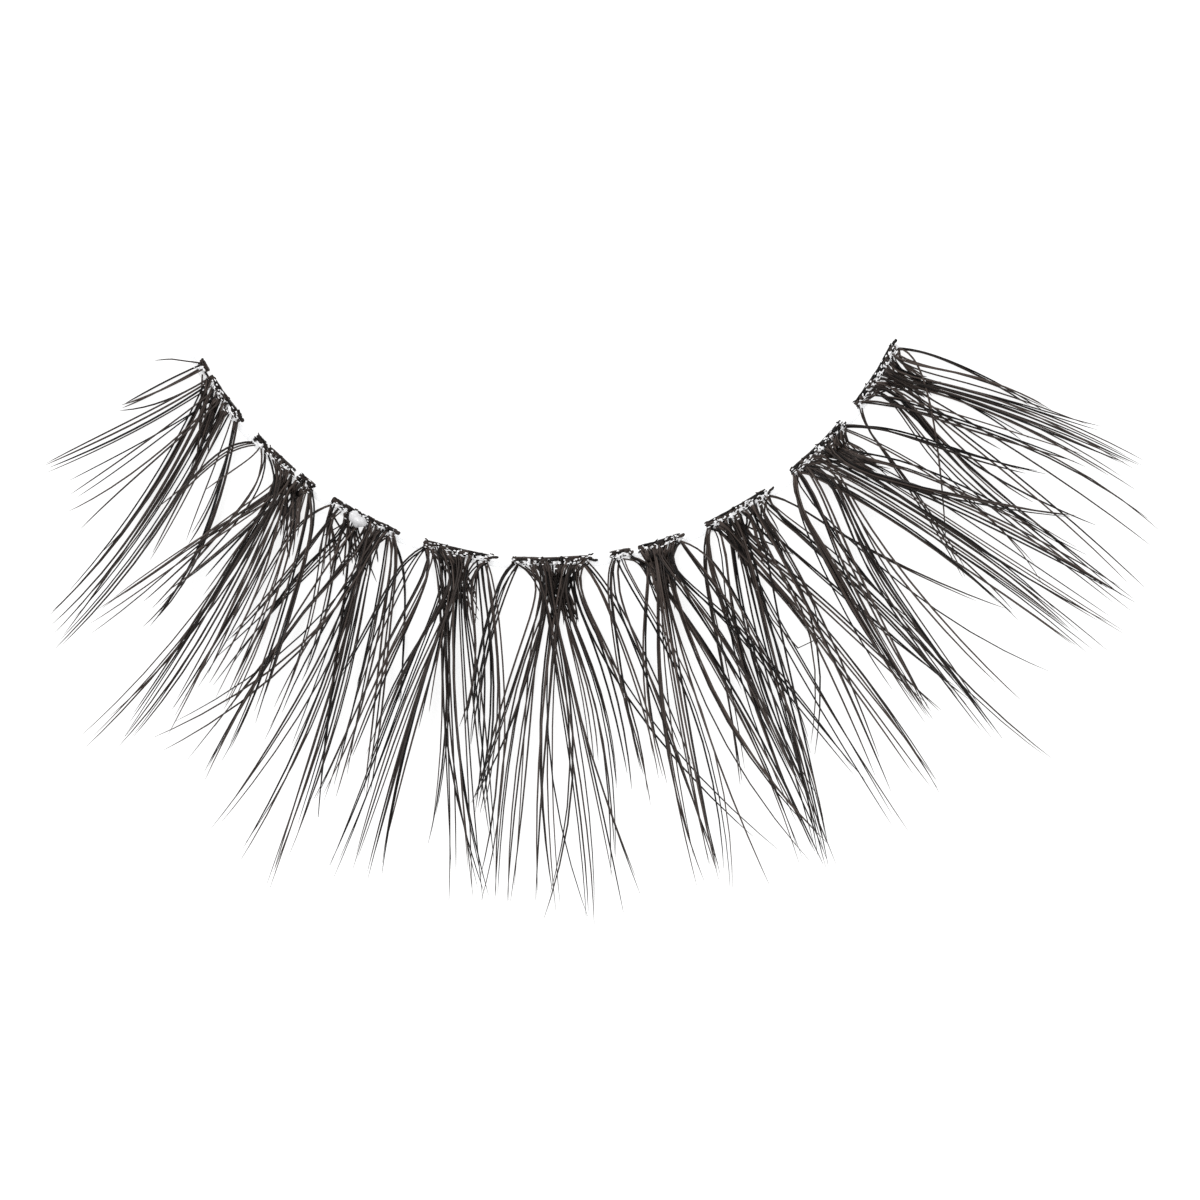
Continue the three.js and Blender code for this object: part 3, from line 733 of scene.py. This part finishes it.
@dataclass
class LashFan:
    """One fan: its lashes, and the fibre ends that knot them round the band.

    A span holds the lowest and the highest value that chance picks between.
    """

    plan: FanPlan
    row: KnotRow
    lash: FibrePattern
    cut: FibrePattern
    strays: tuple[Route, ...] = ()
    root_pitch: float = 0.09 * MM
    middle_pitch: float = 0.13 * MM
    tip_pitch: float = 0.055 * MM
    strand_width: float = 0.077 * MM
    strand_widths: Span = (0.75, 1.2)
    stray_width: float = 0.8
    stray_shade: float = 0.5
    strand_lengths: Span = (0.92, 1.04)
    lift: float = 0.045 * MM
    bow_scatter: float = 0.003
    tip_scatter: float = 0.07 * MM
    tip_hook: float = 0.14 * MM
    root_scatter: float = 0.24 * MM
    outer_root_scatter: float = 0.2
    strand_scatter: float = 0.12 * MM
    outer_from: float = 0.95
    outer_fade: float = 0.3
    waist_reach: float = 1.35 * MM
    waist_reaches: Span = (0.7, 1.7)
    furthest_waist: float = 0.4
    waist_pull: float = 0.5
    lock_pulls: Span = (0.3, 1.5)
    strand_pulls: Span = (0.85, 1.15)
    outward_splay: float = 0.3 * MM
    lock_splays: Span = (0.5, 1.3)
    strand_splays: Span = (0.8, 1.2)
    seat_margin: float = 0.03 * MM
    first_reaches: tuple[float, float, float] = (0.17 * MM, 0.38 * MM, 0.62 * MM)
    first_reach_shifts: Span = (-0.03 * MM, 0.05 * MM)
    crossing_share: float = 0.25
    crossing_reach: float = 0.08 * MM
    root_drop: float = 0.015 * MM
    root_lift: float = 0.07 * MM
    under_spread: float = 0.75 * MM
    under_place: float = 0.03
    under_aside: float = 0.5 * MM
    under_lengths: Span = (0.09, 0.2)
    knot_width: float = 0.1 * MM
    knot_widths: Span = (0.9, 1.05)
    wave_turns: Span = (0.5, 1.6)
    wave_rise: float = 0.6
    pad_clearance: float = 0.02 * MM
    pad_reaches: tuple[float, float] = (-0.08 * MM, 0.0)
    pad_levels: int = 3
    pad_step: float = 0.09 * MM
    pad_wave: float = 0.012 * MM
    pad_past: float = 0.03 * MM
    pad_short: float = 0.05 * MM
    cut_drop: float = 0.045 * MM
    cut_overhang: float = 0.08 * MM
    cut_scatter: float = 0.02 * MM
    cut_slope: float = 0.12 * MM
    cut_wave: float = 0.014 * MM
    palest_cut: float = 0.7

    def __post_init__(self) -> None:
        """Starts the fan's own run of small differences and its bundle."""
        self.chance = random.Random(self.plan.node)
        self.bundle = FibreBundle(self.lash, self.cut)
        self.middle = self.plan.place * SIZES.fan_pitch
        self.angle = self.middle / self.row.radius

    def build(self, material: bpy.types.Material) -> bpy.types.Object:
        """Makes the whole fan.

        Args:
            material: the fibre finish.

        Returns:
            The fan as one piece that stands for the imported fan.
        """
        for index, lock in enumerate(self.plan.locks):
            self.add_lock(lock, index)
        for route in self.strays:
            self.add_stray(route)
        self.add_under_hairs()
        for start, end in self.plan.heads:
            self.add_pad(start * SIZES.head_half_width, end * SIZES.head_half_width)
            for ends in CUT_ROWS:
                self.add_cut_ends(start * SIZES.head_half_width, end * SIZES.head_half_width, ends)
        piece = self.bundle.to_object(self.plan.node.replace("lash_fan", "fibre_fan"))
        finish_piece(piece, material, "lash_fibre", self.plan.node)
        return piece

    def add_lock(self, lock: Lock, index: int) -> None:
        """Lays the strands of one lock side by side.

        Args:
            lock: its row of the chart.
            index: the row's place in the chart, which sets its level.
        """
        chance = self.chance
        strands = max(1, round(lock.hairs * self.plan.fullness))
        inner = min(1.0, max(0.0, (self.outer_from - abs(lock.root)) / self.outer_fade))
        hook = chance.gauss(0, self.tip_hook)
        gathered = bool(self.plan.waists)
        scatter_share = self.outer_root_scatter + (1 - self.outer_root_scatter) * inner
        scatter = gathered * scatter_share * chance.gauss(0, self.root_scatter)
        pull = gathered * inner * self.waist_pull * chance.uniform(*self.lock_pulls)
        splay = gathered * (1 - inner) * math.copysign(self.outward_splay, lock.root)
        splay *= chance.uniform(*self.lock_splays)
        waist_reach = self.waist_reach * chance.uniform(*self.waist_reaches)
        longest = self.strand_lengths[1]
        for strand in range(strands):
            beside = strand - (strands - 1) / 2
            own_scatter = gathered * inner * chance.gauss(0, self.strand_scatter)
            root = lock.root * SIZES.head_half_width + beside * self.root_pitch + scatter + own_scatter
            tip = lock.tip * SIZES.lash_length + beside * self.tip_pitch + chance.gauss(0, self.tip_scatter)
            spread = beside * (self.middle_pitch - (self.root_pitch + self.tip_pitch) / 2)
            bow = lock.bow + chance.uniform(-self.bow_scatter, self.bow_scatter)
            length = longest if strand == strands // 2 else chance.uniform(*self.strand_lengths)
            self.add_strand(StrandPath(
                root=self.seat_root(root),
                tip=tip,
                far=lock.reach * SIZES.lash_length,
                bow=bow * SIZES.lash_length + spread,
                hook=hook + chance.gauss(0, self.tip_hook / 2),
                length=length,
                waist_reach=waist_reach,
                pull=pull * chance.uniform(*self.strand_pulls),
                splay=splay * chance.uniform(*self.strand_splays),
            ), index)

    def seat_root(self, root: float) -> float:
        """Moves a root onto the nearest stretch of knots.

        Args:
            root: its sideways place.

        Returns:
            The nearest sideways place that has knots under it.
        """
        half_width = SIZES.head_half_width
        seats = [min(max(root, start * half_width + self.seat_margin), end * half_width - self.seat_margin)
                 for start, end in self.plan.heads]
        return min(seats, key=lambda seat: abs(seat - root))

    def add_strand(self, path: StrandPath, index: int) -> None:
        """Lays one strand from the head to its tip.

        Args:
            path: where it runs.
            index: the lock's place in the chart, which sets its level.
        """
        chance = self.chance
        reach = SIZES.root_reach + (path.far - SIZES.root_reach) * np.array(self.lash.stations) * path.length
        reach[:3] = np.array(self.first_reaches) + chance.uniform(*self.first_reach_shifts)
        if chance.random() < self.crossing_share:
            reach[0] = chance.uniform(0, self.crossing_reach)
        shares = (reach - reach[0]) / (path.far - reach[0])
        side = path.root + (path.tip - path.root) * shares
        side += path.bow * 4 * shares * (1 - shares) + path.hook * shares ** 4
        if self.plan.waists:
            side += self.draw_in(path, side, shares)
        line = self.flat_line(side, reach)
        line[:, 2] = self.height(line, index) + chance.uniform(0, self.lift)
        line[:2, 2] = SIZES.ridge_top - self.root_drop + chance.uniform(0, self.root_lift)
        width = self.strand_width * chance.uniform(*self.strand_widths)
        self.bundle.add(FibreForm.LASH, line, width, chance.random())

    def draw_in(self, path: StrandPath, side: np.ndarray, shares: np.ndarray) -> np.ndarray:
        """Works out how far a strand is drawn sideways near its waist.

        Args:
            path: where the strand runs.
            side: its sideways places without a waist.
            shares: how far along its reach each of them is.

        Returns:
            The sideways shift at each place.
        """
        waist_share = min(self.furthest_waist, path.waist_reach / path.far)
        early = shares / waist_share * np.exp(1 - shares / waist_share) * (1 - shares) / (1 - waist_share)
        waists = [place * SIZES.lash_length for place in self.plan.waists]
        waist = min(waists, key=lambda place: abs(place - path.root))
        gap = waist - np.interp(waist_share, shares, side)
        return (path.pull * gap + path.splay) * early

    def add_under_hairs(self) -> None:
        """Lays the short fibres that fill each waist between the head and the lashes."""
        chance = self.chance
        for waist in self.plan.waists or (self.under_place,):
            for _ in range(self.plan.under_hairs):
                root = self.seat_root(waist * SIZES.lash_length + chance.gauss(0, self.under_spread))
                aside = chance.uniform(-self.under_aside, self.under_aside)
                far = chance.uniform(*self.under_lengths) * SIZES.lash_length
                tip = waist * SIZES.lash_length + aside + self.plan.lean * far
                self.add_strand(StrandPath(root, tip, far), 0)

    def flat_line(self, side: np.ndarray, reach: np.ndarray) -> np.ndarray:
        """Points on the table from distances in the fan's own frame.

        Args:
            side: distances sideways from the fan's middle, to the outer corner.
            reach: distances outward from the row.

        Returns:
            The points at height 0.
        """
        centre = np.array([self.row.centre_x, self.row.centre_y, 0.0])
        outward = self.row.outward(self.angle)
        tangent = self.row.tangent(self.angle)
        return centre + outward * (self.row.radius + reach)[:, None] + tangent * side[:, None]

    def height(self, line: np.ndarray, index: int) -> np.ndarray:
        """Heights of a lash: flat near the band, then curled up.

        Args:
            line: its points.
            index: the lock's place in the chart.

        Returns:
            The height of the strand's middle at each point.
        """
        distance = self.row.reach_of(line)
        rise = np.maximum(0, distance - SIZES.flat_length) / (SIZES.lash_length - SIZES.flat_length)
        ramp = np.clip((distance - SIZES.root_reach) / SIZES.layer_ramp, 0, 1)
        level = index % SIZES.levels * SIZES.level_step
        layer = self.plan.layer.value * SIZES.layer_step * ramp
        return SIZES.curl_height * rise ** 2 + layer + level + SIZES.lock_thickness / 2

    def add_stray(self, route: Route) -> None:
        """Lays a single strand through chosen points.

        Args:
            route: sideways and outward places in lash lengths, from its root to its tip.
        """
        places = np.array(route) * SIZES.lash_length
        run = np.concatenate([[0], np.cumsum(np.hypot(*np.diff(places, axis=0).T))])
        shares = np.array(self.lash.stations) * run[-1]
        line = self.flat_line(np.interp(shares, run, places[:, 0]), np.interp(shares, run, places[:, 1]))
        line[:, 2] = self.height(line, 0) + SIZES.band_top
        self.bundle.add(FibreForm.LASH, line, self.strand_width * self.stray_width, self.stray_shade)

    def along_row(self, start: float, end: float, reach: float, height: float, wave: float) -> np.ndarray:
        """A slightly wavy line along the head.

        Args:
            start: where it starts, from the fan's middle.
            end: where it ends.
            reach: its distance outward from the row.
            height: its height.
            wave: how far it strays to either side.

        Returns:
            The line's points.
        """
        shares = np.array(self.cut.stations)
        phase = self.chance.uniform(0, math.tau)
        turns = self.chance.uniform(*self.wave_turns) * math.tau
        sway = wave * np.sin(phase + turns * shares)
        lift = self.wave_rise * wave * np.cos(phase + turns * shares)
        along = self.middle + start + (end - start) * shares
        return self.row.at(along, reach + sway, height + lift)

    def add_pad(self, start: float, end: float) -> None:
        """Lays the fibres under the band side by side along one stretch of the head.

        Args:
            start: where the stretch starts, from the fan's middle.
            end: where it ends.
        """
        chance = self.chance
        floor = self.knot_width / 2 + self.pad_clearance
        for reach in self.pad_reaches:
            for level in range(self.pad_levels):
                first = start + chance.uniform(-self.pad_past, self.pad_short)
                last = end + chance.uniform(-self.pad_short, self.pad_past)
                line = self.along_row(first, last, reach, floor + level * self.pad_step, self.pad_wave)
                width = self.knot_width * chance.uniform(*self.knot_widths)
                self.bundle.add(FibreForm.CUT, line, width, chance.random())

    def add_cut_ends(self, start: float, end: float, ends: CutRow) -> None:
        """Lays a row of short cut ends along the top of the head.

        Args:
            start: where the stretch of head starts, from the fan's middle.
            end: where it ends.
            ends: the row's reach and sizes.
        """
        chance = self.chance
        lean = np.array(self.cut.stations) - 0.5
        outward = self.row.outward(self.angle)[None, :2]
        at = start - chance.uniform(0, self.cut_overhang)
        while at < end:
            stop = at + chance.uniform(*ends.lengths) * MM
            reach = ends.reach * MM + chance.uniform(-self.cut_scatter, self.cut_scatter)
            line = self.along_row(at, stop, reach, SIZES.ridge_top - self.cut_drop, self.cut_wave)
            slope = chance.uniform(-self.cut_slope, self.cut_slope)
            line[:, :2] += outward * (slope * lean)[:, None]
            width = chance.uniform(*ends.widths) * MM
            self.bundle.add(FibreForm.CUT, line, width, self.palest_cut * chance.random())
            at = stop + chance.uniform(*ends.gaps) * MM


def wrap_on_row(piece: bpy.types.Object, row: KnotRow) -> None:
    """Bends a piece that was modelled straight, in millimetres, onto the row.

    Args:
        piece: a mesh with X along the row, Y outward and Z up.
        row: the row that it follows.
    """
    straight = np.array([vertex.co for vertex in piece.data.vertices]) * MM
    bent = row.at(straight[:, 0], straight[:, 1], straight[:, 2])
    piece.data.vertices.foreach_set("co", bent.astype(np.float32).ravel())
    piece.data.flip_normals()
    piece.data.update()


def model_ribbon(name: str, span: Span, reach: float, width: float, heights: Span,
                 rounding: float, cuts: int) -> bpy.types.Object:
    """Models a straight ribbon with rounded edges, in millimetres.

    Args:
        name: the piece's name.
        span: where it starts and ends along X.
        reach: its middle line on Y.
        width: its width along Y.
        heights: its underside and its top.
        rounding: the radius of its long edges.
        cuts: how many times it is divided along its length.

    Returns:
        The ribbon, in object mode.
    """
    deselect_all()
    bpy.ops.mesh.primitive_cube_add(size=1)
    ribbon = bpy.context.object
    ribbon.name = name
    bpy.ops.object.mode_set(mode="EDIT")
    bpy.ops.mesh.select_all(action="SELECT")
    bpy.ops.transform.resize(value=(span[1] - span[0], width, heights[1] - heights[0]))
    bpy.ops.transform.translate(value=(sum(span) / 2, reach, sum(heights) / 2))
    bpy.ops.object.mode_set(mode="OBJECT")
    half = (span[1] - span[0]) / 2

    def runs_along(places: list[Vector]) -> bool:
        """True for an edge that runs the ribbon's length."""
        return abs(places[0].x - places[1].x) > half

    select_where(ribbon, MeshPart.EDGE, runs_along)
    bpy.ops.mesh.bevel(offset=rounding, segments=3, affect="EDGES")
    bpy.ops.object.mode_set(mode="OBJECT")
    select_where(ribbon, MeshPart.EDGE, runs_along)
    bpy.ops.mesh.subdivide(number_cuts=cuts)
    bpy.ops.object.mode_set(mode="OBJECT")
    return ribbon


@dataclass
class ClearBand:
    """The clear ribbon that carries the fans."""

    row: KnotRow
    rounding: float = 0.045
    cuts: int = 71

    def build(self, material: bpy.types.Material) -> bpy.types.Object:
        """Models the band.

        Args:
            material: the clear finish.

        Returns:
            The band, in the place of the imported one.
        """
        span = (-SIZES.band_to_inner_corner / MM, SIZES.band_to_outer_corner / MM)
        heights = (SIZES.band_bottom / MM, SIZES.band_top / MM)
        band = model_ribbon("clear_ribbon", span, SIZES.band_offset / MM, SIZES.band_width / MM,
                            heights, self.rounding, self.cuts)
        wrap_on_row(band, self.row)
        band.data.shade_smooth()
        finish_piece(band, material, "clear_band", "clear_band")
        return band


class Wave(NamedTuple):
    """A sine wave along a piece: its size in millimetres or as a share, and its turn for each millimetre."""

    size: float
    turn: float


def sum_waves(waves: tuple[Wave, ...], phases: tuple[float, ...], place: float) -> float:
    """Adds up waves at one place.

    Args:
        waves: the waves.
        phases: the phase of each.
        place: a place along the piece, in millimetres.

    Returns:
        The sum of the waves.
    """
    return sum(wave.size * math.sin(wave.turn * place + phase) for wave, phase in zip(waves, phases))


@dataclass
class GlueAndGlintDrop:
    """One small drop of glue modelled once, from which the white flecks on the knots, painted glints, are
    copied.
    """

    subdivisions: int = 2
    base: float = -0.2
    corners: np.ndarray = field(init=False)
    faces: list[tuple[int, ...]] = field(init=False)

    def __post_init__(self) -> None:
        """Models the drop and keeps its corners and faces."""
        deselect_all()
        bpy.ops.mesh.primitive_ico_sphere_add(subdivisions=self.subdivisions, radius=0.5)
        drop = bpy.context.object
        bpy.ops.object.mode_set(mode="EDIT")
        bpy.ops.mesh.select_all(action="SELECT")
        bpy.ops.mesh.bisect(plane_co=(0, 0, self.base), plane_no=(0, 0, 1), clear_inner=True, use_fill=True)
        bpy.ops.object.mode_set(mode="OBJECT")
        self.corners = np.array([vertex.co for vertex in drop.data.vertices])
        self.faces = [tuple(face.vertices) for face in drop.data.polygons]
        bpy.data.objects.remove(drop)


@dataclass
class KnotGlue:
    """The dried glue of one stretch of a head, in millimetres: a low body whose milky white is partly painted
    sheen, and flecks on the knots whose white is painted glints.
    """

    plan: FanPlan
    stretch: int
    row: KnotRow
    drop: GlueAndGlintDrop
    reach: float = 0.1
    width: float = 0.24
    bottom: float = 0.015
    top: float = 0.33
    rounding: float = 0.07
    cut_pitch: float = 0.05
    overhang: float = 0.06
    end_fade: float = 0.15
    end_share: float = 0.3
    width_waves: tuple[Wave, ...] = (Wave(0.2, 9), Wave(0.15, 23))
    height_waves: tuple[Wave, ...] = (Wave(0.08, 13), Wave(0.06, 31))
    side_waves: tuple[Wave, ...] = (Wave(0.012, 7), Wave(0.01, 17))
    flecks_per_millimetre: float = 11.0
    fleck_lengths: Span = (0.05, 0.16)
    fleck_widths: Span = (0.03, 0.06)
    fleck_height: float = 0.05
    fleck_reach: float = 0.06
    fleck_scatter: float = 0.12
    fleck_seats: Span = (0.4, 0.44)

    def build(self, material: bpy.types.Material) -> bpy.types.Object:
        """Models the glue.

        Args:
            material: the glue's finish.

        Returns:
            The glue, in place under and between the knots.
        """
        chance = random.Random(f"{self.plan.node} glue {self.stretch}")
        start, end = self.plan.heads[self.stretch]
        middle = self.plan.place * SIZES.fan_pitch / MM
        half_width = SIZES.head_half_width / MM
        span = (middle + start * half_width - self.overhang, middle + end * half_width + self.overhang)
        cuts = max(3, round((span[1] - span[0]) / self.cut_pitch))
        name = f"knot_glue_{self.plan.node[-1]}_{self.stretch + 1}"
        line = model_ribbon(name, span, 0.0, self.width, (0.0, self.top - self.bottom), self.rounding, cuts)
        wide_phases, high_phases, side_phases = (
            tuple(chance.uniform(0, math.tau) for _ in waves)
            for waves in (self.width_waves, self.height_waves, self.side_waves))
        for vertex in line.data.vertices:
            x = vertex.co.x
            from_end = min(x - span[0], span[1] - x) / self.end_fade
            fade = self.end_share + (1 - self.end_share) * max(0.0, min(1.0, from_end))
            wide = 1 + sum_waves(self.width_waves, wide_phases, x)
            high = 1 + sum_waves(self.height_waves, high_phases, x)
            sway = sum_waves(self.side_waves, side_phases, x)
            vertex.co.y = vertex.co.y * wide * fade + sway + self.reach
            vertex.co.z = vertex.co.z * high * fade + self.bottom
        self.add_glint_flecks(line, span, chance)
        wrap_on_row(line, self.row)
        line.data.shade_smooth()
        finish_piece(line, material, "glue")
        return line

    def add_glint_flecks(self, line: bpy.types.Object, span: Span, chance: random.Random) -> None:
        """Scatters white flecks of glue over the knots, painted glints, and joins them to the body.

        Args:
            line: the glue's body, straight and in millimetres.
            span: where it starts and ends along X.
            chance: the run of small differences.
        """
        corners = [tuple(vertex.co) for vertex in line.data.vertices]
        faces = [tuple(face.vertices) for face in line.data.polygons]
        # White glue flecks on the dark knots: painted glints.
        for _ in range(round((span[1] - span[0]) * self.flecks_per_millimetre)):
            size = np.array([
                chance.uniform(*self.fleck_lengths), chance.uniform(*self.fleck_widths), self.fleck_height])
            seat = np.array([
                chance.uniform(*span), chance.gauss(self.fleck_reach, self.fleck_scatter),
                chance.uniform(*self.fleck_seats)])
            first = len(corners)
            corners += [tuple(corner) for corner in self.drop.corners * size + seat]
            faces += [tuple(first + i for i in face) for face in self.drop.faces]
        mesh = bpy.data.meshes.new(line.name)
        mesh.from_pydata(corners, [], faces)
        mesh.update()
        line.data = mesh


@dataclass
class GlueBead:
    """The bead of dried glue over the band at the third fan, in millimetres."""

    row: KnotRow
    segments: int = 28
    rings: int = 14
    spread: float = 1.25
    reach: float = 0.2
    seat: float = 0.4
    base: float = -0.35
    along_waves: tuple[Wave, ...] = (Wave(0.05, 9),)
    along_phases: tuple[float, ...] = (1.0,)
    side_waves: tuple[Wave, ...] = (Wave(0.05, 8), Wave(0.03, 17))
    side_phases: tuple[float, ...] = (0.4, 0.0)
    height_waves: tuple[Wave, ...] = (Wave(0.15, 11),)
    height_turn_across: float = 5.0

    def build(self, material: bpy.types.Material) -> bpy.types.Object:
        """Models the bead.

        Args:
            material: the glue's finish.

        Returns:
            The bead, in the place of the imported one.
        """
        plan = next(each for each in FAN_PLANS if each.node == SIZES.glue_node)
        along = (plan.place * SIZES.fan_pitch + SIZES.glue_place * SIZES.head_half_width) / MM
        deselect_all()
        bpy.ops.mesh.primitive_uv_sphere_add(segments=self.segments, ring_count=self.rings, radius=0.5)
        bead = bpy.context.object
        bead.name = "glue_bead"
        bpy.ops.object.mode_set(mode="EDIT")
        bpy.ops.mesh.select_all(action="SELECT")
        bpy.ops.mesh.bisect(plane_co=(0, 0, self.base), plane_no=(0, 0, 1), clear_inner=True, use_fill=True)
        bpy.ops.mesh.select_all(action="SELECT")
        bpy.ops.transform.resize(
            value=(SIZES.glue_length / MM, self.spread * SIZES.glue_width / MM, 2 * SIZES.glue_height / MM))
        bpy.ops.object.mode_set(mode="OBJECT")
        for vertex in bead.data.vertices:
            x, y, z = vertex.co
            high = 1 + sum_waves(self.height_waves, (self.height_turn_across * y,), x)
            vertex.co.x = x + sum_waves(self.along_waves, self.along_phases, y) + along
            vertex.co.y = y + sum_waves(self.side_waves, self.side_phases, x) + self.reach
            vertex.co.z = z * high + self.seat
        wrap_on_row(bead, self.row)
        bead.data.shade_smooth()
        finish_piece(bead, material, "glue", "glue_drop")
        return bead


@dataclass
class Studio:
    """The pale floor, the soft light and the camera straight above."""

    row: KnotRow
    image_width: float = 48 * MM
    image_middle: tuple[float, float] = (2.28 * MM, -17.28 * MM)
    camera_height: float = 1.0
    sensor: float = 36.0
    floor_size: float = 3.0
    floor_drop: float = 0.01 * MM
    sky: float = 1.0
    key_power: float = 3.0
    key_size: float = 0.35
    key_distance: float = 0.7
    key_direction: tuple[float, float, float] = (-0.5, 0.55, 0.75)

    def build(self) -> None:
        """Sets up the floor, the light and the camera."""
        self.build_floor()
        self.build_light()
        self.build_camera()

    def build_floor(self) -> None:
        """Lays the floor just under the strip."""
        deselect_all()
        bpy.ops.mesh.primitive_plane_add(size=self.floor_size, location=(0, 0, -self.floor_drop))
        floor = bpy.context.object
        floor.name = "floor"
        floor.data.materials.append(FloorFinish().build())

    def build_light(self) -> None:
        """Lights the strip from all round, with one large soft lamp to one side."""
        world = bpy.data.worlds.new("soft_sky")
        world.use_nodes = True
        sky = world.node_tree.nodes["Background"]
        sky.inputs["Color"].default_value = WHITE
        sky.inputs["Strength"].default_value = self.sky
        bpy.context.scene.world = world
        lamp = bpy.data.lights.new("softbox", "AREA")
        lamp.energy = self.key_power
        lamp.size = self.key_size
        softbox = bpy.data.objects.new("softbox", lamp)
        direction = Vector(self.key_direction).normalized()
        softbox.location = direction * self.key_distance
        softbox.rotation_euler = direction.to_track_quat("Z", "Y").to_euler()
        bpy.context.scene.collection.objects.link(softbox)
        bpy.context.scene.view_settings.view_transform = "Standard"

    def build_camera(self) -> None:
        """Points the camera straight down at the photograph's middle."""
        data = bpy.data.cameras.new("camera")
        data.sensor_width = self.sensor
        data.lens = self.sensor * self.camera_height / self.image_width
        camera = bpy.data.objects.new("camera", data)
        camera.location = (self.row.centre_x + self.image_middle[0],
                           self.row.centre_y + self.image_middle[1], self.camera_height)
        bpy.context.scene.collection.objects.link(camera)
        bpy.context.scene.camera = camera


STRAYS: dict[str, tuple[Route, ...]] = {
    "lash_fan_1": ([(-0.096, 0.005), (-0.118, 0.03), (-0.15, 0.065), (-0.172, 0.105)],),
    "lash_fan_7": ([(0.045, 0.05), (0.045, 0.3), (0.035, 0.4), (0, 0.46), (-0.03, 0.47),
                    (-0.06, 0.43), (-0.08, 0.36), (-0.085, 0.25), (-0.07, 0.1)],),
}


BAND_FINISH = ClearFinish("clear_band_plastic", (0.86, 0.87, 0.89), 0.3)
# The knot glue's near-white, nearly opaque colour is partly painted sheen: it stands in for the light that the
# clear glue reflects over the dark knots.
GLUE_AND_SHEEN_FINISH = ClearFinish("dried_glue_and_painted_sheen", (0.96, 0.96, 0.97), 0.8)
BEAD_FINISH = ClearFinish("glue_bead_plastic", (0.8, 0.8, 0.81), 0.75, dim=0.62)


def main() -> None:
    """Builds the strip's pieces in order, then the studio."""
    logging.basicConfig(level=logging.INFO, format="%(name)s: %(message)s")
    row = KnotRow.from_frame()
    Studio(row).build()
    fibre = FibreFinish().build()
    glue = GLUE_AND_SHEEN_FINISH.build()
    lash = FibrePattern(FibreForm.LASH)
    cut = FibrePattern(FibreForm.CUT)
    drop = GlueAndGlintDrop()
    ClearBand(row).build(BAND_FINISH.build())
    for plan in FAN_PLANS:
        LashFan(plan, row, lash, cut, strays=STRAYS.get(plan.node, ())).build(fibre)
        for stretch in range(len(plan.heads)):
            KnotGlue(plan, stretch, row, drop).build(glue)
    GlueBead(row).build(BEAD_FINISH.build())


if __name__ == "__main__":
    main()
